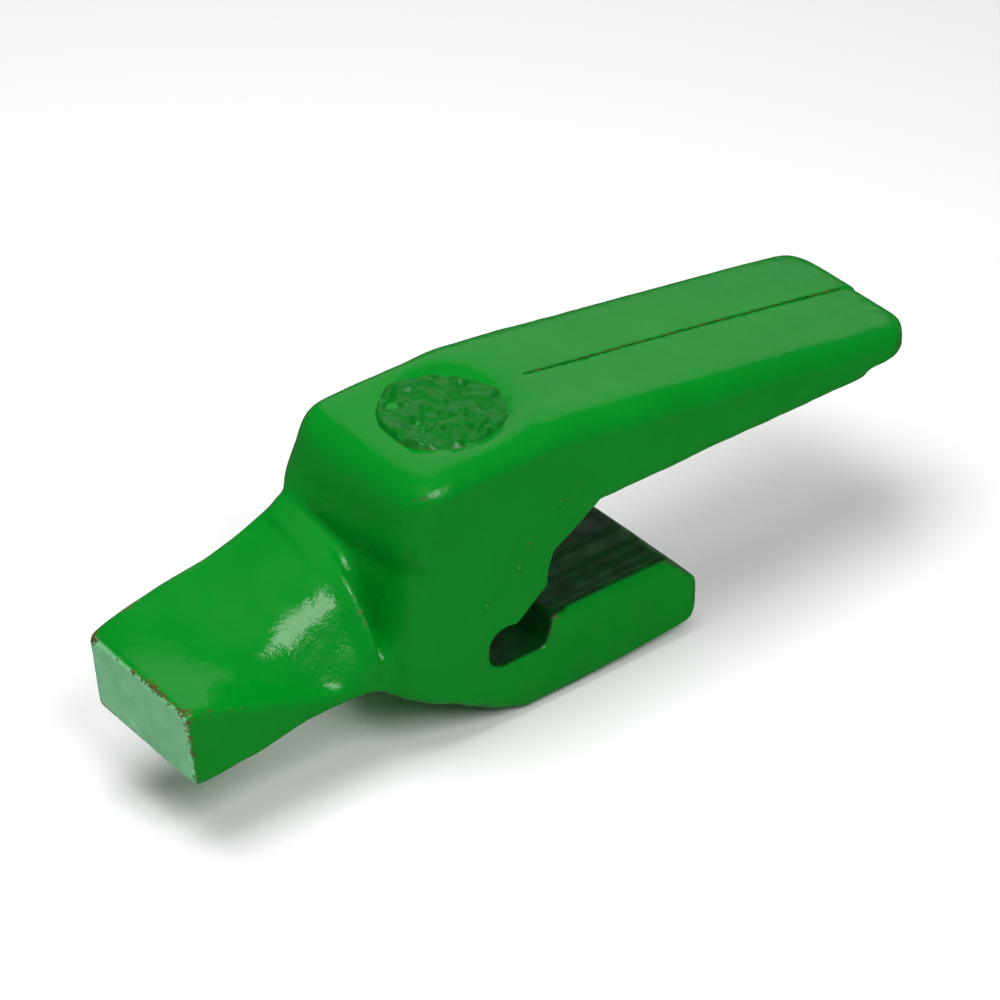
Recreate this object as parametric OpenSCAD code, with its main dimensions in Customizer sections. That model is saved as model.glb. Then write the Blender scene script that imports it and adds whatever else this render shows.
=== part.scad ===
// Weld-on bucket tooth adapter: a cast steel holder with a twisted nose, a
// long top leg and a short bottom leg that straddle the bucket's lip plate.
// The lip plate comes in along -Y. X is across the adapter, Z is up, and the
// origin is on the lower seat, mid-width, under the slot's relief bore.

/* [Body] */
// Width over the two flanks and legs
body_w = 95; // [80:1:120]
// Height of the slot that the lip plate fills
lip_gap = 52.5; // [44:0.5:64]
// Height of the crown's top above the upper seat
crown_rise = 49; // [42:0.5:58]
// How far the crown's front stands ahead of the relief bore
crown_reach = 52; // [44:1:60]
// Depth of the heel below the lower seat
heel_drop = 47; // [40:0.5:56]

/* [Legs] */
// Distance from the relief bore to the rear end of the top leg
top_leg_l = 252; // [200:1:300]
// Thickness of the top leg at its rear end, over its pad
top_leg_tip_t = 15; // [13:0.5:22]
// Distance from the relief bore to the rear end of the bottom leg
bottom_leg_l = 116; // [100:1:145]
// Rise of the bottom leg's lower face from heel to rear
bottom_leg_rise = 9; // [2:0.5:12]
// Corner radius of the top leg's rear end, seen from above
leg_end_r = 24; // [12:1:32]
// Thickness of each raised weld pad
pad_t = 3.5; // [2:0.5:5]
// How far a pad's long sides are set in from the flank
pad_inset = 1; // [0.5:0.5:4]
// How far the top pad stops short of the leg's rear end
pad_end_inset = 32; // [20:1:44]

/* [Slot] */
// Diameter of the relief bore at the root of the slot
relief_d = 20; // [14:1:26]
// Distance from the relief bore to the front edge of the lower seat
seat_front = 28; // [24:1:34]
// Distance from the relief bore to the front edge of the upper seat
throat_top = 53; // [46:1:62]

/* [Nose] */
// Distance from the relief bore to the nose's end face
nose_l = 168.5; // [150:0.5:195]
// Width of the nose
nose_w = 76; // [64:1:84]
// Height of the nose's end face
nose_h = 42; // [34:0.5:50]
// Height of the end face's centre above the lower seat
nose_z = 12; // [6:0.5:18]
// Pitch of the nose's axis, nose down
nose_pitch = 9; // [5:0.5:13]
// How steeply the twisted faces fall towards the lock side
nose_twist = 27; // [18:1:30]
// How far the nose's high edges swell past the end face's height
nose_swell = 5.5; // [3:0.5:7]
// Length of the nose, from its end face to the lock ledges
ledge_l = 104; // [90:1:110]
// Draft of the end face
end_draft = 5; // [0:0.5:8]

/* [Cast details] */
// Diameter of the feeder stub left on the crown
feeder_d = 64; // [48:1:70]
// Height of the feeder stub above the crown
feeder_h = 1.5; // [0.5:0.5:4]
// Height of the mould parting fin on the top leg
fin_h = 0.6; // [0.4:0.1:1.5]
// Diameter of the raised cast pips on the flanks
pip_d = 5; // [3:0.5:8]
// Height of the pips
pip_h = 0.8; // [0.4:0.1:1.5]

/* [Hidden] */
cast_green = [0.05, 0.55, 0.25];
pad_green = [0.02, 0.3, 0.12];
end_green = [0.45, 0.72, 0.52];

$fn = 64;
// Segments in one rounded corner
corner_n = 5;
half_w = body_w / 2;
half_nose = nose_w / 2;
// Radius along the casting's lower edges
edge_r = 8;

// Heights of the main faces
crown_z = lip_gap + crown_rise;
crown_base = lip_gap + 17;
pad_under = lip_gap + pad_t;
tip_top = lip_gap + top_leg_tip_t;
seat_base = -pad_t;
floor_z = seat_base - relief_d / 2;
heel_z = -heel_drop;
leg_bottom_z = heel_z + bottom_leg_rise;
// Length of the bevel behind the lower seat
leg_bevel = 17;
// Where the blocks of the casting meet
join_y = -22;
join_z = 0.62 * heel_z;
crown_rear = 24;
ledge_y = ledge_l - nose_l;
// Lengths along the nose, from its end face: the plain tip, the ramp's front and its steepest point
tip_l = 34;
ramp_l = tip_l + 22;
neck_l = ledge_l - 26;
tip_y = tip_l - nose_l;
pad_half = half_w - pad_inset;
// The top leg's upper face runs up from its tip to the crown
top_leg_slope = atan((crown_z - tip_top) / (top_leg_l - crown_rear));
function leg_line(y) = tip_top + (top_leg_l - y) * tan(top_leg_slope);
// The upper face swells a little above that line
swell_y = throat_top;
leg_swell = 1.6;
// Thickness of the parting fin
fin_w = 1.2;

function unit(v) = v / norm(v);
// Rounded corner at p between the points a and b, as corner_n + 1 points
function corner(a, p, b, r) =
    let (u = unit(a - p), v = unit(b - p), h = acos(max(-1, min(1, u * v))) / 2,
         straight = h > 86,
         reach = straight ? r : min(r / tan(h), norm(a - p) * 0.49, norm(b - p) * 0.49),
         c = straight ? p : p + unit(u + v) * reach / cos(h),
         s = p + u * reach - c, e = p + v * reach - c, t = 180 - 2 * h)
    [for (i = [0 : corner_n]) let (k = i / corner_n)
        straight ? c + s * (1 - k) + e * k : c + (s * sin((1 - k) * t) + e * sin(k * t)) / sin(t)];
// Closed outline with its corners rounded to the radii rs
function rounded(pts, rs) =
    let (n = len(pts))
    [for (i = [0 : n - 1]) each corner(pts[(i + n - 1) % n], pts[i], pts[(i + 1) % n], rs[i])];

// Solid through outlines [x, z] that stand at the places ys, each leaning back below lean_z
module loft(ys, outlines, leans, lean_z = 0) {
    n = len(outlines[0]);
    m = len(ys);
    points = [for (k = [0 : m - 1]) for (p = outlines[k])
        [p[0], ys[k] + tan(leans[k]) * (lean_z - p[1]), p[1]]];
    sides = [for (k = [0 : m - 2]) for (i = [0 : n - 1])
        let (a = k * n + i, b = k * n + (i + 1) % n) each [[a, b + n, b], [a, a + n, b + n]]];
    first = [[for (i = [0 : n - 1]) i]];
    last = [[for (i = [0 : n - 1]) m * n - 1 - i]];
    polyhedron(points, concat(sides, first, last), convexity = 6);
}
// Side profile [y, z] drawn out over a width, centred
module from_side(w, pts) { rotate([90, 0, 90]) linear_extrude(w, center = true) polygon(pts); }
// Outline [x, z] drawn out along Y
module from_front(y0, y1, pts) {
    translate([0, y1, 0]) rotate([90, 0, 0]) linear_extrude(y1 - y0) polygon(pts);
}
// Outline [x, y] drawn out along Z
module from_above(z0, z1, pts) { translate([0, 0, z0]) linear_extrude(z1 - z0) polygon(pts); }

// Nose: its axis, and the heights of its twisted faces' edges, a distance d behind the end
function axis_z(d) = nose_z + tan(nose_pitch) * d;
function high_edge(d) = axis_z(d) + nose_h / 2 + nose_swell * sin(min(90, 2.2 * d));
function low_edge(d) = axis_z(d) + nose_h / 2 - tan(nose_twist) * d;
function face_z(x, d) = high_edge(d) + (low_edge(d) - high_edge(d)) * (x + half_nose) / nose_w;
// The nose is the same after half a turn about its axis, so four corners give all eight
function half_turn(pts, d) = concat(pts, [for (p = pts) [-p[0], 2 * axis_z(d) - p[1]]]);
function nose_outline(d, w, high, crest, foot, low, r) =
    rounded(half_turn([[-w, high], crest, foot, [w, low]], d), [for (j = [0 : 1]) each [r, 7, 4, 3]]);
// Points of a twisted face at a share of the nose's half width
function on_face(share, d) = [share * half_nose, face_z(share * half_nose, d)];
// The ramp's crest, at a share of the half width and a height above the axis
function crest(share, d, rise) = [share * half_nose, axis_z(d) + nose_h / 2 + rise];
function plain_outline(d) = nose_outline(d, half_nose, high_edge(d),
    on_face(-0.1, d), on_face(0.32, d), low_edge(d), 4);
// The high edges stand this far above the end face's height at the ledges, and the low ones below
ledge_rise = 16;
ledge_drop = 35;
ledge_w = half_nose + 1;
function ledge_outline(top, foot) = nose_outline(ledge_l, ledge_w,
    axis_z(ledge_l) + nose_h / 2 + ledge_rise, crest(top[0], ledge_l, top[1]),
    crest(foot[0], ledge_l, foot[1]), axis_z(ledge_l) + nose_h / 2 - ledge_drop, 7);

module nose_tip() {
    // The end face's rim is rounded by this much
    rim = 1.5;
    end_top = high_edge(0) - rim;
    color(end_green)
        loft([-nose_l, 2.5 - nose_l, tip_y],
             [nose_outline(0, half_nose - rim, end_top, crest(-0.1, 0, -rim), crest(0.32, 0, -rim), end_top, 4),
              plain_outline(0), plain_outline(tip_l)],
             [end_draft, end_draft, 0], nose_z + nose_h / 2);
}
module nose_core() {
    color(cast_green)
        loft([for (d = [tip_l, ramp_l, neck_l, ledge_l]) d - nose_l],
             [plain_outline(tip_l),
              nose_outline(ramp_l, half_nose, high_edge(ramp_l), crest(-0.21, ramp_l, 2),
                           on_face(0.63, ramp_l), low_edge(ramp_l), 5),
              nose_outline(neck_l, half_nose, high_edge(neck_l), crest(0.1, neck_l, 3),
                           on_face(0.87, neck_l), low_edge(neck_l), 6),
              ledge_outline([0.32, 4], [0.9, -21])],
             [0, 0, 0, 0]);
}
// The flanks swell from the nose to the full width of the body
module shoulder() {
    // Places of the outlines, as shares of the way from the ledges to the body
    ys = [for (share = [0, 0.2, 0.34, 0.62, 1]) ledge_y + share * (join_y - ledge_y)];
    top = crown_base;
    waist = nose_z + 14;
    // Outline with its top's far, middle and lock-side corners, half width w and underside at z
    function outline(w, far, middle, lock, z, far_z, rs) =
        rounded([[-w, far], middle, lock, [w, waist], [w, z + 1], [0.35 * half_w, z],
                 [-0.42 * half_w, z], [-w, far_z]], rs);
    function full_outline(w, z) = outline(w, top, [0.55 * half_w, top], [w, top], z, z + 1,
                                          [0.5, 2, 0.5, 8, edge_r, 6, 6, edge_r]);
    color(cast_green)
        loft(ys,
             [ledge_outline([0.26, -1], [0.82, -25]),
              outline(half_w - 5.5, top - 6, [0.38 * half_w, top - 8], [0.74 * half_w, top - 22],
                      0.34 * join_z, 4, [8, 8, 10, 8, 6, 6, 6, 8]),
              outline(half_w - 2.5, top, [0.5 * half_w, top], [0.88 * half_w, top - 8],
                      0.51 * join_z, 0.27 * join_z, [6, 2, 6, 8, 6, 6, 6, 6]),
              full_outline(half_w - 0.8, 0.75 * join_z), full_outline(half_w, join_z)],
             [0, 0, 0, 0, 0]);
}
module crown() {
    front = -crown_reach;
    // The top is level from the rear to here, then nods forward
    level_y = 4;
    nod = [-12, crown_z - 1.5];
    foot = [front + 1, crown_base];
    profile = concat([[crown_rear, crown_base], [crown_rear, crown_z], [level_y, crown_z], nod],
                     corner(nod, [front, crown_z - 6], foot, 15), [foot]);
    color(cast_green) difference() {
        intersection() {
            from_side(body_w + 2, profile);
            from_above(crown_base, crown_z + 1,
                rounded([[half_w, crown_rear], [-half_w, crown_rear], [-half_w, front],
                         [half_w, front]], [0.5, 0.5, 20, 20]));
            from_front(front - 1, crown_rear,
                rounded([[-half_w, crown_base - 1], [half_w, crown_base - 1], [half_w, crown_z],
                         [-half_w, crown_z]], [0.5, 0.5, 13, 13]));
        }
        feeder_disc();
    }
}
// What is left of the feeder that filled the mould, set in the crown
module feeder_disc() {
    translate([0, 0, crown_z - 5]) rotate([-1, 1, 0]) cylinder(d = feeder_d, h = 5 + feeder_h);
}
module feeder_stub() { color(cast_green) feeder_disc(); }
// Upper half of the body, with the bevel that the lip's front edge runs up
module throat_block() {
    root = [relief_d * 0.3, seat_base + relief_d * 0.45];
    run = [throat_top, lip_gap] - root;
    across = [-run[1], run[0]] / norm(run);
    // Cast edge of the bevel: how far along it, and how far it is cut back from a straight line
    bevel = [[0.72, 4], [0.56, 7], [0.44, 3], [0.35, -2.5], [0.18, -1.5]];
    profile = concat([[join_y, seat_base], [join_y, crown_base], [throat_top, crown_base],
                      [throat_top, lip_gap]],
                     [for (b = bevel) root + run * b[0] + across * b[1]],
                     [root, [0, seat_base]]);
    color(cast_green) difference() {
        from_side(body_w, profile);
        slot_relief();
    }
}
module slot_relief() {
    translate([0, 0, seat_base]) rotate([0, 90, 0]) cylinder(d = relief_d, h = body_w + 2, center = true);
}
module heel_block() {
    // The underside steps down from the shoulder to the heel
    ys = [for (share = [0, 0.4, 0.7, 1]) join_y + share * (seat_front - join_y)];
    bottoms = [join_z, (join_z + 2 * heel_z) / 3, heel_z, heel_z];
    color(cast_green) difference() {
        loft(ys, [for (z = bottoms)
                 rounded([[-half_w, seat_base], [half_w, seat_base], [half_w, z], [-half_w, z]],
                         [0.5, 0.5, edge_r, edge_r])],
             [0, 0, 0, 0]);
        from_side(body_w + 2, [[0, 1], [0, floor_z], [seat_front - 6, floor_z],
                               [seat_front - 2, seat_base], [seat_front - 2, 1]]);
        slot_relief();
    }
}
module top_leg() {
    profile = concat(
        [[throat_top, pad_under], [throat_top, crown_base], [crown_rear, crown_base],
         [crown_rear, crown_z], [swell_y, leg_line(swell_y) + leg_swell]],
        corner([swell_y, leg_line(swell_y) + leg_swell], [top_leg_l, tip_top], [top_leg_l, pad_under], 12),
        corner([top_leg_l, tip_top], [top_leg_l, pad_under], [throat_top, pad_under], 4));
    color(cast_green) difference() {
        intersection() {
            from_side(body_w, profile);
            from_above(pad_under, crown_z + 1,
                rounded([[half_w, crown_rear], [half_w, top_leg_l], [-half_w, top_leg_l],
                         [-half_w, crown_rear]], [0.5, leg_end_r, leg_end_r, 0.5]));
            // The top's long edges are rounded, along its slope
            translate([0, top_leg_l, tip_top + leg_swell]) rotate([-top_leg_slope, 0, 0])
                translate([0, -top_leg_l, 0])
                from_front(-20, top_leg_l + 20,
                    rounded([[-half_w, -crown_z], [half_w, -crown_z], [half_w, 0], [-half_w, 0]],
                            [1, 1, 13, 13]));
        }
        feeder_disc();
    }
}
module top_leg_pad() {
    color(pad_green) from_above(lip_gap, pad_under,
        rounded([[pad_half, throat_top], [pad_half, top_leg_l - pad_end_inset],
                 [-pad_half, top_leg_l - pad_end_inset], [-pad_half, throat_top]], [0.5, 6, 6, 0.5]));
}
module bottom_leg() {
    // The rear end is bevelled down from the pad, then rounded under
    brow = [bottom_leg_l - leg_bevel, seat_base];
    tail = [bottom_leg_l, seat_base - leg_bevel + 2];
    toe = [bottom_leg_l, leg_bottom_z];
    profile = concat([[seat_front, heel_z], [seat_front, seat_base], brow],
                     corner(brow, tail, toe, 14), corner(tail, toe, [seat_front, heel_z], 14));
    color(cast_green) intersection() {
        from_side(body_w, profile);
        from_front(seat_front, bottom_leg_l,
            rounded([[-half_w, heel_z], [half_w, heel_z], [half_w, seat_base], [-half_w, seat_base]],
                    [edge_r, edge_r, 4, 4]));
        from_above(heel_z - 1, 1,
            rounded([[half_w, seat_front], [half_w, bottom_leg_l], [-half_w, bottom_leg_l],
                     [-half_w, seat_front]], [0.5, 7, 7, 0.5]));
    }
}
module bottom_leg_pad() {
    color(pad_green) from_side(2 * pad_half,
        [[seat_front - 2, seat_base], [seat_front, 0], [bottom_leg_l - leg_bevel - 1, 0],
         [bottom_leg_l - leg_bevel, seat_base]]);
}
// Thin flash where the two halves of the mould met, along the top leg's mid-line
module parting_fin() {
    front = [swell_y, leg_line(swell_y) + leg_swell];
    run = [top_leg_l, tip_top] - front;
    rear = front + run * 0.9;
    rise = [0, fin_h];
    color(cast_green) from_side(fin_w, [front, rear, rear + rise, front + rise]);
}
module cast_pips(side) {
    // Places behind the relief bore, and above or below the upper seat
    for (p = [[-12, -28.5], [7, -16.5], [12, -5.5], [30, 9.5]])
        translate([side * half_w, p[0], lip_gap + p[1]]) rotate([0, side * 90, 0])
            cylinder(d = pip_d, h = pip_h);
}
module cast_pips_right() { color(cast_green) cast_pips(1); }
module cast_pips_left() { color(cast_green) cast_pips(-1); }

nose_tip();
nose_core();
shoulder();
crown();
feeder_stub();
throat_block();
heel_block();
top_leg();
top_leg_pad();
bottom_leg();
bottom_leg_pad();
parting_fin();
cast_pips_right();
cast_pips_left();
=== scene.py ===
"""Weld-on bucket tooth adapter: one green enamelled steel casting on a pale floor.

Lengths are in millimetres until a mesh is made, but in metres for the camera, lights and floor.
The frame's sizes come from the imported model.
"""
import math

import bmesh
import bpy
import numpy as np
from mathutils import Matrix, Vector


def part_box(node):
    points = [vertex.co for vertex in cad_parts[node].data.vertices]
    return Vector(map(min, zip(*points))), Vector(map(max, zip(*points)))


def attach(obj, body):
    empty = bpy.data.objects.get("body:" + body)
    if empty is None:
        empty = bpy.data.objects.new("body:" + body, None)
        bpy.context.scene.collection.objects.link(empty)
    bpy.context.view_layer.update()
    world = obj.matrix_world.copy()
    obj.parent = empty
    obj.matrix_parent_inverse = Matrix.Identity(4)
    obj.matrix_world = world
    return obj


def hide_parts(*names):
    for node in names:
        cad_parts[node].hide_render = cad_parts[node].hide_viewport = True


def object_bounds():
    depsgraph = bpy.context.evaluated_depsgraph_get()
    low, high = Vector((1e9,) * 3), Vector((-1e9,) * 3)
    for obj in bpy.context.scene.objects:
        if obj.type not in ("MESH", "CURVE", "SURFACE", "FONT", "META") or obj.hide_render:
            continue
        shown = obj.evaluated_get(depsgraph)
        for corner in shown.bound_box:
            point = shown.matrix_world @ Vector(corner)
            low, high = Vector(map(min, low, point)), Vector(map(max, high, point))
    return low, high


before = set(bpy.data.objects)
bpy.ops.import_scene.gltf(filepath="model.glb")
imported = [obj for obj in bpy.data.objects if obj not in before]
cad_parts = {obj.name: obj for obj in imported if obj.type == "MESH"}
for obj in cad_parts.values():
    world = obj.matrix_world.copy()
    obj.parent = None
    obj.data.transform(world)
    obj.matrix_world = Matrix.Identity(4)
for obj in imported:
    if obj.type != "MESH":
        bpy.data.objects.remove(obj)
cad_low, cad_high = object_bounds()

import openvdb as vdb
from mathutils import Matrix, Vector

scene = bpy.context.scene

# ---------------------------------------------------------------- camera, floor and light
# A long lens well above and ahead of the adapter, a pale seamless floor under it, a key softbox
# high on the lock side, one overhead, and a broad panel behind, which the upper faces mirror.
AIM_AZIMUTH, AIM_ELEVATION, LENS = 51.3, 34.8, 151.2
STAND_OFF = Vector((1.22619, -0.94891, 1.12883))
camera = bpy.data.objects.new("camera", bpy.data.cameras.new("camera"))
scene.collection.objects.link(camera)
camera.location = STAND_OFF
camera.rotation_euler = (math.radians(90 - AIM_ELEVATION), 0, math.radians(AIM_AZIMUTH))
camera.data.sensor_width = 36
camera.data.lens = LENS
camera.data.clip_start, camera.data.clip_end = 0.05, 50
scene.camera = camera
scene.view_settings.view_transform = "Standard"


def linear(hex_colour):
    """A hex sRGB colour as linear RGBA."""
    channels = [int(hex_colour[i:i + 2], 16) / 255 for i in (1, 3, 5)]
    return [c / 12.92 if c <= 0.04045 else ((c + 0.055) / 1.055) ** 2.4 for c in channels] + [1.0]


def node(tree, kind, links=None, **settings):
    """Adds a node with its settings; links gives each input a value or the socket that feeds it."""
    made = tree.nodes.new(kind)
    for name, value in settings.items():
        setattr(made, name, value)
    for socket, value in (links or {}).items():
        if isinstance(value, bpy.types.NodeSocket):
            tree.links.new(value, made.inputs[socket])
        else:
            made.inputs[socket].default_value = value
    return made


def softbox(name, towards, distance, size, watts):
    """A square area light of a size, a distance out along a direction, in m, that faces the adapter."""
    lamp = bpy.data.objects.new(name, bpy.data.lights.new(name, "AREA"))
    scene.collection.objects.link(lamp)
    lamp.data.shape = "SQUARE"
    lamp.data.size = size
    lamp.data.energy = watts
    direction = Vector(towards).normalized()
    lamp.location = (cad_low + cad_high) / 2 + direction * distance
    lamp.rotation_euler = direction.to_track_quat("Z", "Y").to_euler()
    return lamp


softbox("key_softbox", (0.66, -0.10, 0.74), 1.6, 0.8, 15)
overhead = softbox("overhead_softbox", (-0.12, -0.22, 0.97), 1.5, 1.1, 22)
overhead.visible_glossy = False
softbox("back_panel", (-0.641, 0.513, 0.571), 1.6, 1.3, 2.3)

scene.world = bpy.data.worlds.new("studio")
scene.world.use_nodes = True
scene.world.node_tree.nodes["Background"].inputs["Color"].default_value = linear("#FFFFFF")
scene.world.node_tree.nodes["Background"].inputs["Strength"].default_value = 0.08

floor_mesh = bpy.data.meshes.new("studio_floor")
floor_reach = 6.0
floor_mesh.from_pydata([(x * floor_reach, y * floor_reach, cad_low.z) for x, y in
                        ((-1, -1), (1, -1), (1, 1), (-1, 1))], [], [(0, 1, 2, 3)])
floor = bpy.data.objects.new("studio_floor", floor_mesh)
scene.collection.objects.link(floor)
paper = bpy.data.materials.new("seamless_paper")
paper.use_nodes = True
paper_shader = paper.node_tree.nodes["Principled BSDF"]
paper_shader.inputs["Base Color"].default_value = linear("#FBFBFA")
paper_shader.inputs["Roughness"].default_value = 0.9
paper_shader.inputs["Specular IOR Level"].default_value = 0.1
floor_mesh.materials.append(paper)
floor.visible_glossy = False

# ---------------------------------------------------------------- the casting's blank
# The adapter is poured in one piece, so its skin runs on from one region to the next with a
# fillet at each inside corner. The skin is worked out as one field of distances, in mm, on a
# grid round the whole casting; each region is then cut from that one skin.
CELL = 1.0
REACH = 24
MARGIN = 5
grid_low = np.floor(np.array(cad_low) * 1000 / CELL).astype(int) - MARGIN
grid_size = np.ceil(np.array(cad_high) * 1000 / CELL).astype(int) + MARGIN + 1 - grid_low
GX, GY, GZ = np.ix_(*[(grid_low[i] + np.arange(grid_size[i])) * np.float32(CELL) for i in range(3)])


def node_mesh(name):
    """A copy of a CAD node's mesh, in mm, with its doubles merged."""
    bm = bmesh.new()
    bm.from_mesh(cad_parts[name].data)
    bmesh.ops.remove_doubles(bm, verts=bm.verts, dist=1e-6)
    mesh = bpy.data.meshes.new(name + "_copy")
    bm.to_mesh(mesh)
    bm.free()
    return mesh


def joined(names):
    """One closed mesh of CAD nodes that meet face to face."""
    parts = [bpy.data.objects.new("blank", node_mesh(name)) for name in names]
    for part in parts:
        scene.collection.objects.link(part)
    for part in parts[1:]:
        union = parts[0].modifiers.new("union", "BOOLEAN")
        union.operation, union.solver, union.object = "UNION", "MANIFOLD", part
    depsgraph = bpy.context.evaluated_depsgraph_get()
    mesh = bpy.data.meshes.new_from_object(parts[0].evaluated_get(depsgraph))
    for part in parts:
        bpy.data.objects.remove(part)
    return mesh


def arrays(mesh):
    """A mesh's points, in mm, and its triangles."""
    points = np.empty(len(mesh.vertices) * 3, np.float32)
    mesh.vertices.foreach_get("co", points)
    triangles = np.empty(len(mesh.loop_triangles) * 3, np.int32)
    mesh.loop_triangles.foreach_get("vertices", triangles)
    return points.reshape(-1, 3) * 1000, triangles.reshape(-1, 3).astype(np.uint32)


def field_of(points, triangles):
    """Distance to a closed surface at every grid cell, below zero inside."""
    cells = vdb.createLinearTransform(voxelSize=CELL)
    level = vdb.FloatGrid.createLevelSetFromPolygons(points, triangles=triangles, transform=cells,
                                                     halfWidth=REACH / CELL)
    field = np.full(grid_size, REACH, np.float32)
    level.copyToArray(field, ijk=tuple(int(i) for i in grid_low))
    return field


def melt(a, b, k):
    """Union of two fields with a fillet about k wide where they meet."""
    share = np.clip(1 - np.abs(a - b) / k, 0, None)
    return np.minimum(a, b) - share * share * k / 4


def step(value, start, end):
    """Goes smoothly from 0 at start to 1 at end."""
    t = np.clip((value - start) / (end - start), 0, 1)
    return t * t * (3 - 2 * t)


def shifted(field, axis, offset):
    """The field moved along one axis by whole cells, with its border repeated."""
    cells = np.clip(np.arange(field.shape[axis]) + offset, 0, field.shape[axis] - 1)
    return np.take(field, cells, axis)


def blur(field, sigma):
    """Gaussian blur; sigma is in mm."""
    reach = math.ceil(2.5 * sigma / CELL)
    bell = np.exp(-0.5 * (np.arange(-reach, reach + 1) * CELL / sigma) ** 2)
    for axis in range(3):
        field = sum(np.float32(weight) * shifted(field, axis, offset - reach)
                    for offset, weight in enumerate(bell / bell.sum()))
    return field


def grain(sizes, seed):
    """Smooth random field of deviation 1, with lumps of these sizes in mm along X, Y and Z."""
    counts = [int(n * CELL / size) + 4 for n, size in zip(grid_size, sizes)]
    field = np.random.default_rng(seed).standard_normal(counts).astype(np.float32)
    for axis, size in enumerate(sizes):
        places = np.arange(grid_size[axis]) * CELL / size
        t = (places % 1)[tuple(slice(None) if i == axis else None for i in range(3))].astype(np.float32)
        weights = ((1 - t) ** 3, 3 * t ** 3 - 6 * t ** 2 + 4, 3 * (t + t ** 2 - t ** 3) + 1, t ** 3)
        field = sum(weight / 6 * np.take(field, places.astype(int) + i, axis)
                    for i, weight in enumerate(weights))
    return field / field.std()


def through(stations, values, at):
    """Smooth curve through values at stations, with no overshoot. values may hold several columns."""
    stations, values = np.asarray(stations, float), np.asarray(values, float)
    columns = values.reshape(len(stations), -1)
    gaps = np.diff(stations)[:, None]
    slopes = np.diff(columns, axis=0) / gaps
    inner = np.where(slopes[:-1] * slopes[1:] > 0,
                     2 * slopes[:-1] * slopes[1:] / (slopes[:-1] + slopes[1:] + 1e-12), 0)
    tangents = np.concatenate([slopes[:1], inner, slopes[-1:]])
    i = np.clip(np.searchsorted(stations, at, side="right") - 1, 0, len(stations) - 2)
    h = gaps[i]
    t = ((at - stations[i])[:, None]) / h
    curve = ((1 + 2 * t) * (1 - t) ** 2 * columns[i] + t * (1 - t) ** 2 * h * tangents[i]
             + t * t * (3 - 2 * t) * columns[i + 1] + t * t * (t - 1) * h * tangents[i + 1])
    return curve.reshape(len(at), *values.shape[1:])


def loft(stations, corners, radii, lean=0.0, lean_z=0.0, spacing=1.5):
    """Closed surface through rounded outlines. corners is (station, corner, x and z)."""
    ys = np.linspace(stations[0], stations[-1], int((stations[-1] - stations[0]) / spacing) + 2)
    points = through(stations, corners, ys)
    radii = through(stations, radii, ys)[:, :, None]
    before, after = np.roll(points, 1, 1) - points, np.roll(points, -1, 1) - points
    reach_a = np.linalg.norm(before, axis=2, keepdims=True)
    reach_b = np.linalg.norm(after, axis=2, keepdims=True)
    reach = np.minimum(radii, 0.49 * np.minimum(reach_a, reach_b))
    first, last = points + before / reach_a * reach, points + after / reach_b * reach
    t = np.linspace(0, 1, 7)[None, None, :, None]
    ring = ((1 - t) ** 2 * first[:, :, None] + 2 * t * (1 - t) * points[:, :, None]
            + t * t * last[:, :, None]).reshape(len(ys), -1, 2)
    count = ring.shape[1]
    leaning = math.tan(math.radians(lean)) * step(ys, stations[0] + 40, stations[0])[:, None]
    y = ys[:, None] + leaning * (lean_z - ring[..., 1])
    body = np.stack([ring[..., 0], y, ring[..., 1]], 2)
    vertices = np.concatenate([body.reshape(-1, 3), body[:1].mean(1), body[-1:].mean(1)])
    k, i = np.meshgrid(np.arange(len(ys) - 1), np.arange(count), indexing="ij")
    a, b = (k * count + i).ravel(), (k * count + (i + 1) % count).ravel()
    front, rear = np.arange(count), (len(ys) - 1) * count + np.arange(count)
    tip, tail = np.full(count, len(vertices) - 2), np.full(count, len(vertices) - 1)
    triangles = np.concatenate([np.stack([a, b + count, b], 1), np.stack([a, a + count, b + count], 1),
                                np.stack([front, np.roll(front, -1), tip], 1),
                                np.stack([np.roll(rear, -1), rear, tail], 1)])
    return vertices.astype(np.float32), triangles.astype(np.uint32)


body_mesh = joined(["throat_block", "heel_block", "crown", "top_leg", "top_leg_pad", "bottom_leg",
                    "bottom_leg_pad"])
body_field = field_of(*arrays(body_mesh))

# ---------------------------------------------------------------- nose, under the wear tip
# A four-sided nose with a half-turn symmetry: on each of its broad faces one edge falls away
# and a ramp climbs the middle, ending in a ledge that the tip's lock bears on. Cast with the
# body, and left as cast; the wear tip twists on over it.
NOSE_PITCH, NOSE_TWIST, NOSE_HEIGHT, NOSE_CENTRE_Z, NOSE_SWELL = 9, 27, 42, 12, 5.5
end_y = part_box("nose_tip")[0].y * 1000
tip_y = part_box("nose_tip")[1].y * 1000
ledge_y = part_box("nose_core")[1].y * 1000
half_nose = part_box("nose_tip")[1].x * 1000


def axis_z(d):
    """Height of the nose's axis, d behind the end face."""
    return NOSE_CENTRE_Z + math.tan(math.radians(NOSE_PITCH)) * d


def high_edge(d):
    """Height over the axis of the broad face's far edge."""
    return NOSE_HEIGHT / 2 + NOSE_SWELL * math.sin(math.radians(min(90, 2.2 * d)))


def low_edge(d):
    """Height over the axis of its lock-side edge, which falls away with the twist."""
    return NOSE_HEIGHT / 2 - math.tan(math.radians(NOSE_TWIST)) * d


def face(x, d):
    """Height over the axis of the twisted face, x to the lock side."""
    return high_edge(d) + (low_edge(d) - high_edge(d)) * (x + half_nose) / (2 * half_nose)


def nose_section(d, w, high, roll, crest, foot, low):
    """Corners of the nose d behind its end; heights are over the axis, and the rest is half a turn away."""
    upper = [(-w, high), roll, crest, foot, (w, low)]
    return [(x, axis_z(d) + z) for x, z in upper] + [(-x, axis_z(d) - z) for x, z in upper]


def on_face(x, d, rise=0.0):
    """A corner on the twisted face, or a rise above it."""
    return x, face(x, d) + rise


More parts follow.
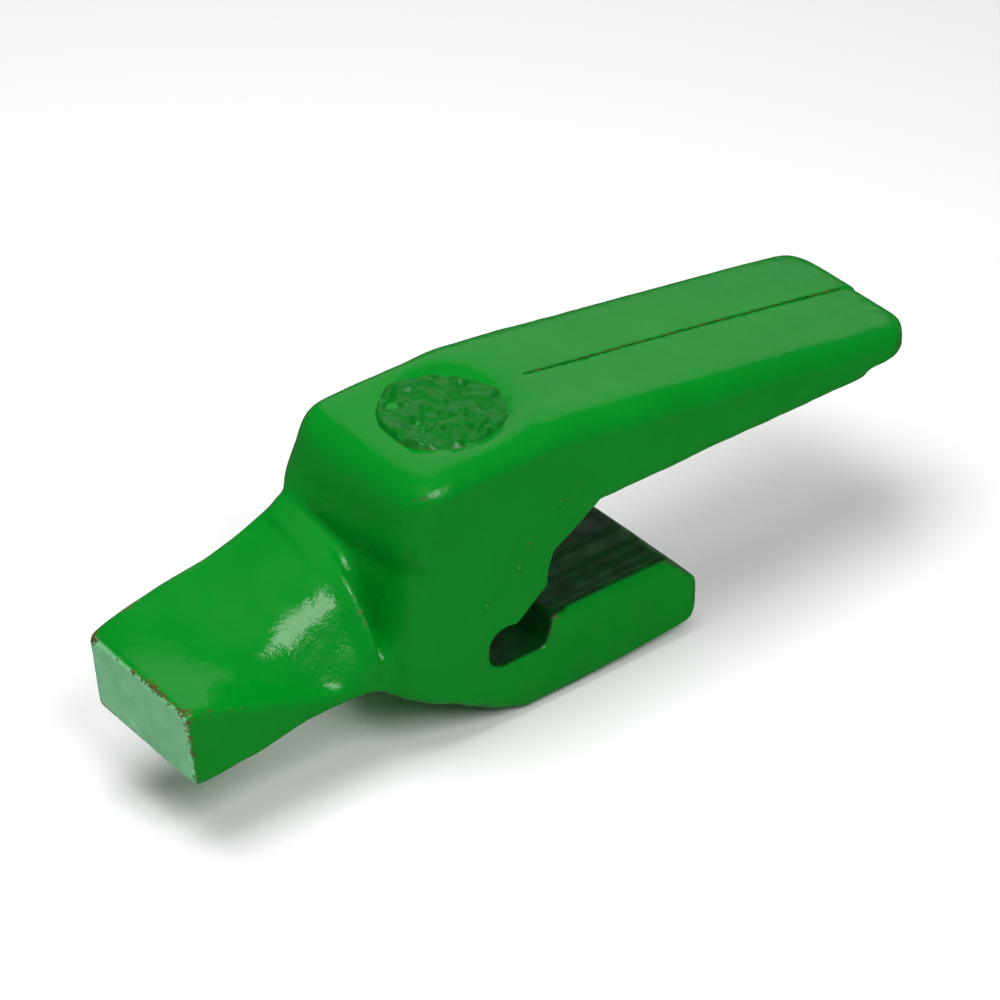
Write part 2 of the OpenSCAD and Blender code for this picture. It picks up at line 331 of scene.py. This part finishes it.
NOSE_RIM = 1.5
ledge_d = ledge_y - end_y
rim_z = NOSE_HEIGHT / 2 - NOSE_RIM
nose_stations = [0, 2.5, 36, 43, 56, 78, 92, ledge_d]
nose_corners = [
    nose_section(0, half_nose - NOSE_RIM, rim_z, (-15, rim_z), (11, rim_z), (20, rim_z), rim_z),
    nose_section(2.5, half_nose, high_edge(2.5), on_face(-15, 2.5), on_face(11, 2.5), on_face(21, 2.5),
                 low_edge(2.5)),
    nose_section(36, half_nose, high_edge(36), on_face(-15, 36), on_face(11, 36), on_face(22, 36),
                 low_edge(36)),
    nose_section(43, half_nose, high_edge(43), on_face(-15, 43, 1.2), on_face(11, 43, 1.6), on_face(24, 43),
                 low_edge(43)),
    nose_section(56, half_nose, high_edge(56), (-15, 20.4), (12, 10.5), on_face(27.8, 56), low_edge(56)),
    nose_section(78, half_nose, high_edge(78), (-15, 24.6), (12.5, 15.4), on_face(33.5, 78),
                 low_edge(78) + 0.5),
    nose_section(92, half_nose + 0.5, 28.5, (-15, 27), (13.5, 19), (36.5, -16), -22),
    nose_section(ledge_d, half_nose + 1, 35, (-15, 30), (15, 23), (36, -4), -15)]
nose_radii = [[4, 9, 9, 3, 4] * 2, [4, 9, 9, 3, 4] * 2, [6, 9, 9, 3, 4] * 2, [6, 12, 9, 2, 4] * 2,
              [7, 14, 11, 1, 4] * 2, [8, 16, 14, 1, 4] * 2, [9, 16, 15, 3, 5] * 2, [9, 16, 15, 4, 6] * 2]
nose_field = field_of(*loft([end_y + d for d in nose_stations], nose_corners, nose_radii,
                            lean=5, lean_z=NOSE_CENTRE_Z + NOSE_HEIGHT / 2))

# ---------------------------------------------------------------- shoulder
# The flanks swell here from the nose to the full width of the body. Behind each lock ledge
# the surface is drawn in a little, so that the lock's ear can pass.
join_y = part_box("shoulder")[1].y * 1000
half_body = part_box("shoulder")[1].x * 1000
crown_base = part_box("crown")[0].z * 1000
join_z = -29


def shoulder_section(w, far, roll, middle, lock, waist, under, far_under):
    """Corners of the shoulder, w to each side, from its far top edge round by the lock side."""
    return [(-w, far), roll, middle, lock, (w, waist), (w, under + 1), (17, under), (0, under), (-20, under),
            (-w, far_under)]


top = crown_base
# The rearmost corners end a little way up inside the crown, which covers them
inside_z = top + 4
shoulder_stations = [ledge_y - 9, ledge_y, ledge_y + 5, ledge_y + 14, ledge_y + 26.5, join_y, join_y + 12]
ledge_hollow = nose_section(ledge_d, half_nose, 35, (-15, 30), (8, 23), (24, -10), -17)
shoulder_corners = [
    [(x * 0.9, z * 0.9 + 2) for x, z in ledge_hollow],
    ledge_hollow,
    shoulder_section(39, top - 5, (-15, top - 10), (10, top - 16), (23, top - 47), 15, -10, 0),
    shoulder_section(45, top + 1, (-15, top), (22, top - 3), (40, top - 14), 28, -15, -9),
    shoulder_section(half_body - 0.6, inside_z, (-15, inside_z), (26, inside_z), (half_body - 0.6, top + 1),
                     30, -22, -21),
    shoulder_section(half_body, inside_z, (-15, inside_z), (26, inside_z), (half_body, inside_z), 30,
                     join_z, join_z + 1),
    shoulder_section(half_body, inside_z, (-15, inside_z), (26, inside_z), (half_body, inside_z), 30,
                     join_z - 5, join_z - 4)]
shoulder_radii = [[7, 14, 7, 6, 5] * 2, [7, 14, 7, 6, 5] * 2, [9, 14, 12, 14, 12, 8, 8, 6, 8, 8],
                  [10, 14, 12, 16, 14, 8, 8, 6, 8, 8], [6, 6, 6, 10, 12, 8, 8, 6, 8, 8],
                  [0.5, 2, 2, 0.5, 8, 8, 6, 6, 6, 8], [0.5, 2, 2, 0.5, 8, 8, 6, 6, 6, 8]]
shoulder_field = field_of(*loft(shoulder_stations, shoulder_corners, shoulder_radii))

# The fillet is small all round but wide under the crown's front, where it runs out on the shoulder
LEDGE_FILLET, BODY_FILLET, CROWN_FILLET = 1.5, 3, 22
front_field = melt(nose_field, shoulder_field, LEDGE_FILLET)
under_crown = step(GZ, 38, 60) * step(GY, 10, -20)
skin = melt(front_field, body_field, BODY_FILLET + (CROWN_FILLET - BODY_FILLET) * under_crown)
skin = np.maximum(skin, np.abs(GX) - half_body)
# A bevel runs along each side of the lower leg's seat
SEAT_BEVEL = 4
seat_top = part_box("bottom_leg_pad")[1].z * 1000
bevel = (np.abs(GX) - half_body + GZ - seat_top + SEAT_BEVEL) / math.sqrt(2) - 12 * (1 - step(GY, 28, 38))
skin = np.where(GZ < seat_top + 8, np.maximum(skin, bevel), skin)

# ---------------------------------------------------------------- skin of the casting
# Shot-blasted cast skin under the enamel: edges rounded by the blast, broad waves where the
# sand moved, and small lumps. All of that is in the mesh; the enamel's own faint waves and its
# orange peel are bump.
soft = blur(skin, 1.1)
softer = blur(skin, 2.6)
softest = blur(softer, 4.4)
head = step(GZ, 56, 70) * step(GY, -75, -60) * (1 - 0.5 * step(GY, 30, 60))
# The stronger softening draws the head and the upper leg in, so they are let out again
LET_OUT = 1.1
skin = np.maximum(soft * (1 - head) + (softest - LET_OUT) * head, np.abs(GX) - half_body)
EDGE_SCALE = 0.8
edge_field = np.clip((softer - soft) / EDGE_SCALE, -1, 1)
BLASTED = 0.15
skin = (skin + BLASTED + 0.10 * grain((30, 30, 30), 1) + 0.05 * grain((11, 11, 11), 2)
        + 0.035 * grain((4, 4, 4), 3))
# The two halves of the mould met at mid-width, a little out of line: the lock side stands lower
MISMATCH = 0.8
skin = skin + MISMATCH / 2 * np.tanh(GX / 0.7) * step(GY, 36, 60) * step(GZ, 59, 66)
# On the seat the sand washed out in long wrinkles
seat = step(GY, 24, 34) * step(GY, 112, 100) * step(GZ, -6, 0) * step(GZ, 34, 28)
skin = skin + seat * (0.2 * grain((3, 60, 8), 4) + 0.12 * grain((9, 80, 9), 5))
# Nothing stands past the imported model's box
WITHIN = 0.05
box_low, box_high = np.array(cad_low) * 1000, np.array(cad_high) * 1000
for axis, cells in enumerate((GX, GY, GZ)):
    skin = np.maximum(skin, np.maximum(box_low[axis] + WITHIN - cells, cells - box_high[axis] + WITHIN))


def sample(field, points):
    """Values of a field at points, in mm."""
    places = points / CELL - grid_low
    corner = np.clip(np.floor(places).astype(int), 0, grid_size - 2)
    share = places - corner
    total = 0
    for dx in (0, 1):
        for dy in (0, 1):
            for dz in (0, 1):
                weight = (np.abs(1 - dx - share[:, 0]) * np.abs(1 - dy - share[:, 1])
                          * np.abs(1 - dz - share[:, 2]))
                total = total + weight * field[corner[:, 0] + dx, corner[:, 1] + dy, corner[:, 2] + dz]
    return total


def surface_of(field, name):
    """The field's zero surface as one closed mesh, in metres."""
    grid = vdb.FloatGrid(float(REACH))
    grid.copyFromArray(np.ascontiguousarray(field), ijk=tuple(int(i) for i in grid_low))
    grid.transform = vdb.createLinearTransform(voxelSize=CELL)
    points, quads = grid.convertToQuads(0.0)
    mesh = bpy.data.meshes.new(name)
    mesh.from_pydata((points / 1000).tolist(), [], quads[:, ::-1].tolist())
    mesh.update()
    return mesh


whole = bpy.data.objects.new("whole_casting", surface_of(skin, "whole_casting"))
scene.collection.objects.link(whole)
slopes = np.gradient(skin, CELL)


def paint_on(mesh, name, values):
    """Keeps one value for each point, which the finish reads."""
    mesh.attributes.new(name, "FLOAT", "POINT").data.foreach_set("value", values.astype(np.float32))


def piece_of(mesh, node_name, material):
    """The finished piece that stands for a CAD node."""
    mesh.materials.append(material)
    piece = bpy.data.objects.new(mesh.name, mesh)
    scene.collection.objects.link(piece)
    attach(piece, "root")
    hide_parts(node_name)
    return piece


def sliced(profile):
    """A closed mesh of the casting inside a side profile [y, z], in mm."""
    wide = cad_high.x - cad_low.x
    rings = [(x, y / 1000, z / 1000) for x in (-wide, wide) for y, z in profile]
    n = len(profile)
    sides = [(i, (i + 1) % n, n + (i + 1) % n, n + i) for i in range(n)]
    knife_mesh = bpy.data.meshes.new("knife")
    knife_mesh.from_pydata(rings, [], sides + [tuple(range(n))[::-1], tuple(range(n, 2 * n))])
    knife = bpy.data.objects.new("knife", knife_mesh)
    scene.collection.objects.link(knife)
    bm = bmesh.new()
    bm.from_mesh(knife_mesh)
    bmesh.ops.recalc_face_normals(bm, faces=bm.faces)
    bm.to_mesh(knife_mesh)
    bm.free()
    slice_off = whole.modifiers.new("slice", "BOOLEAN")
    slice_off.operation, slice_off.solver, slice_off.object = "INTERSECT", "MANIFOLD", knife
    mesh = bpy.data.meshes.new_from_object(whole.evaluated_get(bpy.context.evaluated_depsgraph_get()))
    whole.modifiers.clear()
    bpy.data.objects.remove(knife)
    return mesh


def shade_like_field(mesh, normals):
    """Shades the skin by the field's own normals, so that no seam shows; the cut faces stay flat."""
    corners = np.empty(len(mesh.loops), np.int32)
    mesh.loops.foreach_get("vertex_index", corners)
    loop_normals = normals[corners]
    flat = np.empty(len(mesh.polygons) * 3, np.float32)
    mesh.polygons.foreach_get("normal", flat)
    counts = np.empty(len(mesh.polygons), np.int32)
    mesh.polygons.foreach_get("loop_total", counts)
    face_normals = np.repeat(flat.reshape(-1, 3), counts, axis=0)
    on_cut = (face_normals * loop_normals).sum(1) < 0.35
    loop_normals[on_cut] = face_normals[on_cut]
    mesh.polygons.foreach_set("use_smooth", np.ones(len(mesh.polygons), bool))
    mesh.normals_split_custom_set(loop_normals.tolist())


def cut(name, profile, node_name, material, veil=None):
    """Cuts out the casting inside a side profile [y, z], mm; veil gives the share of the second tone, which
    pieces use for painted shade, painted light and dirt.
    """
    mesh = sliced(profile)
    mesh.name = name
    points = np.empty(len(mesh.vertices) * 3, np.float32)
    mesh.vertices.foreach_get("co", points)
    points = points.reshape(-1, 3) * 1000
    normals = np.stack([sample(slope, points) for slope in slopes], 1)
    normals /= np.linalg.norm(normals, axis=1, keepdims=True) + 1e-9
    shade_like_field(mesh, normals)
    paint_on(mesh, "edge", sample(edge_field, points))
    if veil:
        paint_on(mesh, "veil", veil(points, normals))
    mesh.materials.clear()
    return piece_of(mesh, node_name, material)


def enamel(name, light, deep, second, roughness, rust, peel=1.0):
    """Alkyd enamel on cast steel: patchy green, a second tone that pieces use for painted shade, painted
    light and dirt, rust along worn edges.
    """
    material = bpy.data.materials.new(name)
    material.use_nodes = True
    tree = material.node_tree
    shader = tree.nodes["Principled BSDF"]
    place = node(tree, "ShaderNodeTexCoord").outputs["Object"]
    # Noises of four sizes, in mm
    patches, waves, orange, grit = [
        node(tree, "ShaderNodeTexNoise", {"Vector": place, "Scale": 1000 / size, "Detail": detail,
                                          "Roughness": 0.6}).outputs["Fac"]
        for size, detail in ((55, 2), (10, 3), (2.4, 2), (1.5, 3))]
    edge, veil = [node(tree, "ShaderNodeAttribute", attribute_name=made).outputs["Fac"]
                  for made in ("edge", "veil")]
    tone = node(tree, "ShaderNodeMix", {"Factor": patches, "A": linear(deep), "B": linear(light)},
                data_type="RGBA")
    cover = node(tree, "ShaderNodeMapRange", {"Value": waves, "From Min": 0.3, "From Max": 0.7,
                                              "To Min": 0.75, "To Max": 1.0})
    # The second tone follows each piece's attribute: painted shade in the slot and bore, part painted light
    # on the nose end, and scale on the feeder's rim
    share = node(tree, "ShaderNodeMath", {0: cover.outputs["Result"], 1: veil}, operation="MULTIPLY")
    green = node(tree, "ShaderNodeMix", {"Factor": share.outputs[0], "A": tone.outputs["Result"],
                                         "B": linear(second)}, data_type="RGBA")
    # Rust shows where the rounded edge, the fine grit and the broad waves add up past a limit
    wear = node(tree, "ShaderNodeMath", {0: grit, 1: 1.8, 2: edge}, operation="MULTIPLY_ADD")
    wear = node(tree, "ShaderNodeMath", {0: waves, 1: 1.4, 2: wear.outputs[0]}, operation="MULTIPLY_ADD")
    spots = node(tree, "ShaderNodeMapRange", {"Value": wear.outputs[0], "From Min": 2.65 - rust,
                                              "From Max": 2.85 - rust})
    colour = node(tree, "ShaderNodeMix", {"Factor": spots.outputs["Result"], "A": green.outputs["Result"],
                                          "B": linear("#4E4A1E")}, data_type="RGBA")
    gloss = node(tree, "ShaderNodeMapRange", {"Value": waves, "From Min": 0.3, "From Max": 0.7,
                                              "To Min": roughness - 0.05, "To Max": roughness + 0.07})
    dull = node(tree, "ShaderNodeMath", {0: spots.outputs["Result"], 1: 0.4, 2: gloss.outputs["Result"]},
                operation="MULTIPLY_ADD")
    dull = node(tree, "ShaderNodeMath", {0: share.outputs[0], 1: 0.3, 2: dull.outputs[0]},
                operation="MULTIPLY_ADD")
    skin_bump = node(tree, "ShaderNodeBump", {"Strength": 1.0, "Distance": 0.0003 * peel, "Height": waves})
    peel_bump = node(tree, "ShaderNodeBump", {"Strength": 1.0, "Distance": 0.00014 * peel, "Height": orange,
                                              "Normal": skin_bump.outputs["Normal"]})
    for socket, feed in (("Base Color", colour.outputs["Result"]), ("Roughness", dull.outputs[0]),
                         ("Normal", peel_bump.outputs["Normal"])):
        tree.links.new(feed, shader.inputs[socket])
    shader.inputs["Specular IOR Level"].default_value = 0.36
    return material


# Glossy green alkyd enamel, brushed thick over a shot-blasted casting: soft highlights broken up by
# orange peel, slightly patchy green, and no rust but at the sharpest edges. Its dark second tone is
# painted shade: the faces in the slot and the relief bore are painted dark where shade falls.
cast_green = enamel("alkyd_enamel_on_cast_steel", "#00861F", "#007519", "#00290A", 0.17, -0.15)

FAR = 300


def stretch(y_from, y_to, z_from=-FAR, z_to=FAR):
    """A rectangular side profile; FAR is past the casting on every side."""
    return [(y_from, z_from), (y_to, z_from), (y_to, z_to), (y_from, z_to)]


# ---------------------------------------------------------------- nose end block
# The first stretch of the nose, poured with the rest. Its end face takes the knocks: the enamel
# there is scuffed and dusty, and rusts along the rim.
# Scuffed enamel: dull and speckled on the end face, rusty brown on the rim around it; its pale tone is part
# dust and part painted light on the faces turned to the front.
dust_and_painted_light_green = enamel("scuffed_enamel_on_nose_end", "#00861F", "#007519", "#84D09A", 0.17, 0.16)
# Painted light with the dust: faces turned to the front take the pale tone
cut("nose_end_block", stretch(-FAR, tip_y), "nose_tip", dust_and_painted_light_green,
    lambda points, normals: step(-normals[:, 1], 0.55, 0.85))

# ---------------------------------------------------------------- nose ramp block
# The rest of the nose up to the lock ledges, poured with it; the enamel ran thick here.
cut("nose_ramp_block", stretch(tip_y, ledge_y), "nose_core", cast_green)

# ---------------------------------------------------------------- shoulder block
# From the ledges to the full width of the body, under the crown; poured with both.
cut("shoulder_block", stretch(ledge_y, join_y, z_to=top), "shoulder", cast_green)

# ---------------------------------------------------------------- crown block
# The heavy head over the throat, with rounded corners all round, that the feeder stood on.
crown_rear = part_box("crown")[1].y * 1000
cut("crown_block", stretch(ledge_y, crown_rear, z_from=top), "crown", cast_green)

# ---------------------------------------------------------------- throat and heel
# The two blocks between the legs, with the relief bore shared between them; painted shade
# inside the bore: its faces take the dark second tone.
seat_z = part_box("heel_block")[1].z * 1000
throat_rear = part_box("throat_block")[1].y * 1000
heel_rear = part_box("heel_block")[1].y * 1000
BORE_FOOT_Z = -14


# Painted shade: the faces in the slot and the bore are painted dark
def bore_painted_shade(points, normals):
    """The faces inside the slot and the bore."""
    return step(points[:, 2], BORE_FOOT_Z - 5, BORE_FOOT_Z) * step(np.abs(normals[:, 0]), 0.8, 0.4)


cut("throat", [(join_y, seat_z), (10, seat_z), (20, 8), (throat_rear, 30), (throat_rear, top), (join_y, top)],
    "throat_block", cast_green, bore_painted_shade)
cut("heel", stretch(join_y, heel_rear, z_to=seat_z), "heel_block", cast_green, bore_painted_shade)

# ---------------------------------------------------------------- legs and their pads
# The long upper leg and the short lower leg straddle the bucket lip and are welded to it; the
# pads inside them bear on the lip. The faces in the slot between them are painted dark: painted shade.
lip_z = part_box("top_leg")[0].z * 1000


# Painted shade: the pads' faces in the slot take the dark second tone
def slot_painted_shade(points, normals):
    """Every face of a pad but its two sides."""
    return step(np.abs(normals[:, 0]), 0.75, 0.35)


def seat_painted_shade(points, normals):
    # Painted shade: the seat under the upper leg takes the dark second tone
    """The lower leg's own stretch of the seat, short of its bevels."""
    return step(normals[:, 2], 0.7, 0.9) * step(np.abs(points[:, 0]), half_body - 1, half_body - 5)


# The leg keeps its own underside, so the cut runs just under it; the slot is parted part-way up
lip_cut = lip_z - 0.8
SLOT_Z = 20
cut("upper_leg", [(throat_rear, lip_cut), (FAR, lip_cut), (FAR, FAR), (crown_rear, FAR), (crown_rear, top),
                  (throat_rear, top)], "top_leg", cast_green)
cut("upper_pad", stretch(throat_rear, FAR, SLOT_Z, lip_cut), "top_leg_pad", cast_green,
    slot_painted_shade)
cut("lower_leg", stretch(heel_rear, FAR, z_to=seat_z), "bottom_leg", cast_green, seat_painted_shade)
cut("lower_pad", [(10, seat_z), (FAR, seat_z), (FAR, SLOT_Z), (throat_rear, SLOT_Z), (20, 8)],
    "bottom_leg_pad", cast_green, slot_painted_shade)
bpy.data.objects.remove(whole)

# ---------------------------------------------------------------- feeder stub
# What is left of the feeder that filled the mould: steel knocked off the crown while hot, so its
# face is torn, and enamelled over. Brown scale shows in a ring round its edge.
# Enamel over torn steel: the same green, coarse underneath, with rust round the broken edge.
torn_green = enamel("enamel_on_torn_steel", "#00721B", "#005E14", "#2F4A1A", 0.3, 0.15, 1.8)
stub_low, stub_high = (np.array(corner) * 1000 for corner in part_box("feeder_stub"))
last_in = np.minimum(grid_size[2] - 1 - np.argmax(skin[:, :, ::-1] < 0, 2), grid_size[2] - 2)
below, above = [np.take_along_axis(skin, (last_in + i)[..., None], 2)[..., 0] for i in (0, 1)]
heights = (grid_low[2] + last_in + below / np.minimum(below - above, -1e-6)) * CELL


def height(x, y):
    """Height of the casting's top at x, y, all in mm."""
    (i, s), (j, t) = [(np.floor(v / CELL).astype(int) - low, v / CELL % 1)
                      for v, low in zip((x, y), grid_low)]
    return ((heights[i, j] * (1 - s) + heights[i + 1, j] * s) * (1 - t)
            + (heights[i, j + 1] * (1 - s) + heights[i + 1, j + 1] * s) * t)


STUB_RADIUS, STUB_TILT, STUB_RIM, TORN = 31.9, 0.0175, 4.5, 1.7
FLATNESS, PROUD, RIM_SINK = 0.3, 0.7, 0.7
stub_plane = stub_high[2] - STUB_TILT * STUB_RADIUS * math.sqrt(2)
torn_coarse, torn_fine = grain((7, 7, 7), 11), grain((3, 3, 3), 12)


def mound(name, radius, rings, spokes, top_of, under):
    """A closed round mound, in mm: top_of(x, y) is its upper face and under its flat base."""
    r, turn = np.linspace(0, radius, rings + 1)[1:, None], np.arange(spokes) * 2 * math.pi / spokes
    x, y = r * np.cos(turn), r * np.sin(turn)
    points = np.concatenate([[[0, 0, top_of(np.zeros((1, 1)), np.zeros((1, 1)))[0, 0]]],
                             np.stack([x, y, top_of(x, y)], -1).reshape(-1, 3),
                             np.stack([x[-1], y[-1], np.full(spokes, under)], -1), [[0, 0, under]]])
    i, k = np.arange(spokes), 1 + np.arange(rings)[:, None] * spokes
    j, last = np.roll(i, -1), 1 + rings * spokes
    quads = np.stack([k + i, k + spokes + i, k + spokes + j, k + j], -1).reshape(-1, 4)
    fans = ([(0, 1 + a, 1 + b) for a, b in zip(i, j)]
            + [(last + spokes, last + b, last + a) for a, b in zip(i, j)])
    mesh = bpy.data.meshes.new(name)
    mesh.from_pydata((points / 1000).tolist(), [], [tuple(int(c) for c in f) for f in fans] + quads.tolist())
    mesh.shade_smooth()
    return mesh, points


def torn_top(x, y):
    """Height of the torn face: lumps on a plane part-way to the crown's shape, sunk at a ragged rim."""
    at = np.stack([x, y, np.full_like(x, stub_plane)], -1).reshape(-1, 3)
    lumps = (0.36 * sample(torn_coarse, at) + 0.4 * sample(torn_fine, at)).reshape(x.shape)
    turn = np.arctan2(y, x)
    r = np.hypot(x, y) * (1 + 0.03 * np.sin(3 * turn + 1) + 0.018 * np.sin(7 * turn))
    sunk = step(r, STUB_RADIUS - STUB_RIM, STUB_RADIUS - 1)
    flat, crown = stub_plane - STUB_TILT * (x + y), height(x, y)
    proud = FLATNESS * (flat - 1.6) + (1 - FLATNESS) * crown + PROUD + TORN * lumps
    return np.minimum(proud * (1 - sunk) + (crown - RIM_SINK) * sunk, stub_high[2] - WITHIN)


stub_mesh, stub_points = mound("torn_feeder_stub", STUB_RADIUS, 110, 300, torn_top, stub_low[2] + 0.6)
stub_ring = np.exp(-((np.hypot(stub_points[:, 0], stub_points[:, 1]) - STUB_RADIUS + 1.8) / 1.3) ** 2)
paint_on(stub_mesh, "edge", 0.9 * stub_ring)
paint_on(stub_mesh, "veil", 0.3 * stub_ring)
piece_of(stub_mesh, "feeder_stub", torn_green)

# ---------------------------------------------------------------- parting flash
# Steel that crept between the mould halves: a thin, ragged bead along the upper leg at
# mid-width, ground off here and there and enamelled over, with rust coming through.
# Enamel over a ragged edge: dark green and dull, most of it gone to rust.
flash_green = enamel("rusty_enamel_on_flash", "#006A1E", "#00551A", "#00551A", 0.45, 1.05)
fin_low, fin_high = (np.array(corner) * 1000 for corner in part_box("parting_fin"))
flash_y = np.arange(fin_low[1] - 6, fin_high[1] + 10, 2.0)
flash_path = [(0.0, y / 1000, z / 1000) for y, z in zip(flash_y, height(0 * flash_y, flash_y))]
path_mesh = bpy.data.meshes.new("flash_path")
path_mesh.from_pydata(flash_path, [(i, i + 1) for i in range(len(flash_path) - 1)], [])


def tree_of(name, inputs):
    """A Geometry Nodes tree with geometry in and out and these named inputs, and its two end nodes."""
    tree = bpy.data.node_groups.new(name, "GeometryNodeTree")
    tree.interface.new_socket("Geometry", in_out="INPUT", socket_type="NodeSocketGeometry")
    tree.interface.new_socket("Geometry", in_out="OUTPUT", socket_type="NodeSocketGeometry")
    for label, kind in inputs.items():
        tree.interface.new_socket(label, in_out="INPUT", socket_type="NodeSocket" + kind)
    return tree, node(tree, "NodeGroupInput").outputs, node(tree, "NodeGroupOutput").inputs


def grown(name, base, tree, values):
    """Runs a Geometry Nodes tree over a mesh and keeps what it makes; values gives its inputs by name."""
    host = bpy.data.objects.new(name, base)
    scene.collection.objects.link(host)
    modifier = host.modifiers.new("grow", "NODES")
    modifier.node_group = tree
    for item in tree.interface.items_tree:
        if item.in_out == "INPUT" and item.name in values:
            modifier[item.identifier] = values[item.name]
    mesh = bpy.data.meshes.new_from_object(host.evaluated_get(bpy.context.evaluated_depsgraph_get()))
    host.modifiers.remove(modifier)
    bpy.data.objects.remove(host)
    mesh.name = name
    mesh.materials.clear()
    return mesh


def ended(tree, out, geometry, material):
    """Closes a tree: instances made real, material set, result put out."""
    real = node(tree, "GeometryNodeRealizeInstances", {"Geometry": geometry})
    painted = node(tree, "GeometryNodeSetMaterial", {"Geometry": real.outputs["Geometry"],
                                                     "Material": material})
    tree.links.new(painted.outputs["Geometry"], out["Geometry"])


flash_tree, given, out = tree_of("flash_along_parting", {"Spacing": "Float", "Bead": "Float",
                                                         "Wander": "Float", "Material": "Material"})
line = node(flash_tree, "GeometryNodeMeshToCurve", {"Mesh": given["Geometry"]})
even = node(flash_tree, "GeometryNodeResampleCurve", {"Curve": line.outputs["Curve"],
                                                      "Length": given["Spacing"]}, mode="LENGTH")
place = node(flash_tree, "GeometryNodeInputPosition").outputs[0]
# Lumps of about 4 mm
ragged = node(flash_tree, "ShaderNodeTexNoise", {"Vector": place, "Scale": 260.0, "Detail": 2.0})
offset = node(flash_tree, "ShaderNodeVectorMath", {0: ragged.outputs["Color"], 1: (0.5, 0.5, 0.5)},
              operation="SUBTRACT")
drift = node(flash_tree, "ShaderNodeVectorMath", {0: offset.outputs[0], "Scale": given["Wander"]},
             operation="SCALE")
crept = node(flash_tree, "GeometryNodeSetPosition", {"Geometry": even.outputs["Curve"],
                                                     "Offset": drift.outputs[0]})
thick = node(flash_tree, "ShaderNodeMapRange", {"Value": ragged.outputs["Fac"], "From Min": 0.35,
                                                "From Max": 0.65, "To Min": 0.1, "To Max": 1.0})
bead = node(flash_tree, "GeometryNodeCurvePrimitiveCircle", {"Resolution": 8, "Radius": given["Bead"]})
swelled = node(flash_tree, "GeometryNodeSetCurveRadius", {"Curve": crept.outputs["Geometry"],
                                                          "Radius": thick.outputs["Result"]})
sweep = node(flash_tree, "GeometryNodeCurveToMesh", {
    "Curve": swelled.outputs["Curve"], "Profile Curve": bead.outputs["Curve"], "Fill Caps": True})
ended(flash_tree, out, sweep.outputs["Mesh"], given["Material"])
flash_mesh = grown("parting_flash", path_mesh, flash_tree,
                   {"Spacing": 0.0008, "Bead": 0.00055, "Wander": 0.0014, "Material": flash_green})
flash_mesh.shade_smooth()
piece_of(flash_mesh, "parting_fin", flash_green)

# ---------------------------------------------------------------- cast pips
# Four low bosses cast on each flank, in place of the maker's raised characters; the enamel
# has rounded them over.
PIP_RADIUS, PIP_RISE, PIP_SINK = 2.5, 0.78, 1.2
PIP_PLACES = [(-12, 24), (7, 36), (12, 47), (30, 62)]
pip_tree, given, out = tree_of("pips_on_flank", {"Pip": "Object", "Seed": "Int", "Material": "Material"})
pip = node(pip_tree, "GeometryNodeObjectInfo", {"Object": given["Pip"]})
turned = node(pip_tree, "FunctionNodeRandomValue", {"Min": (0.0, 0.0, 0.0), "Max": (math.tau, 0.0, 0.0),
                                                    "Seed": given["Seed"]}, data_type="FLOAT_VECTOR")
sized = node(pip_tree, "FunctionNodeRandomValue", {"Min": 0.86, "Max": 1.0, "Seed": given["Seed"]})
placed = node(pip_tree, "GeometryNodeInstanceOnPoints", {
    "Points": given["Geometry"], "Instance": pip.outputs["Geometry"], "Rotation": turned.outputs["Value"],
    "Scale": sized.outputs["Value"]})
ended(pip_tree, out, placed.outputs["Instances"], given["Material"])


def pip_top(x, y):
    """A slightly oval dome that falls below the flank at its rim, with a faint dent or two."""
    r = np.hypot(x, y * 1.12) / PIP_RADIUS
    dents = 0.05 * np.sin(3 * x + 1) * np.cos(2.5 * y)
    return PIP_RISE - (PIP_RISE + 0.4) * np.clip(r, 0, 1.2) ** 3.5 + dents


for side, word in ((1, "right"), (-1, "left")):
    node_name = "cast_pips_" + word
    pip_mesh, pip_points = mound("one_pip", PIP_RADIUS, 14, 40, pip_top, -PIP_SINK)
    paint_on(pip_mesh, "edge", 1.1 * step(np.hypot(pip_points[:, 0], pip_points[:, 1]), 1.2, 2.0))
    pip_mesh.transform(Matrix.Rotation(math.radians(90 * side), 4, "Y"))
    pip_object = bpy.data.objects.new("one_pip", pip_mesh)
    points_mesh = bpy.data.meshes.new("pip_places")
    points_mesh.from_pydata([(side * half_body / 1000, y / 1000, z / 1000) for y, z in PIP_PLACES], [], [])
    pips_mesh = grown("pips_" + word, points_mesh, pip_tree,
                      {"Pip": pip_object, "Seed": 7, "Material": cast_green})
    pips_mesh.shade_smooth()
    piece_of(pips_mesh, node_name, cast_green)
    bpy.data.objects.remove(pip_object)
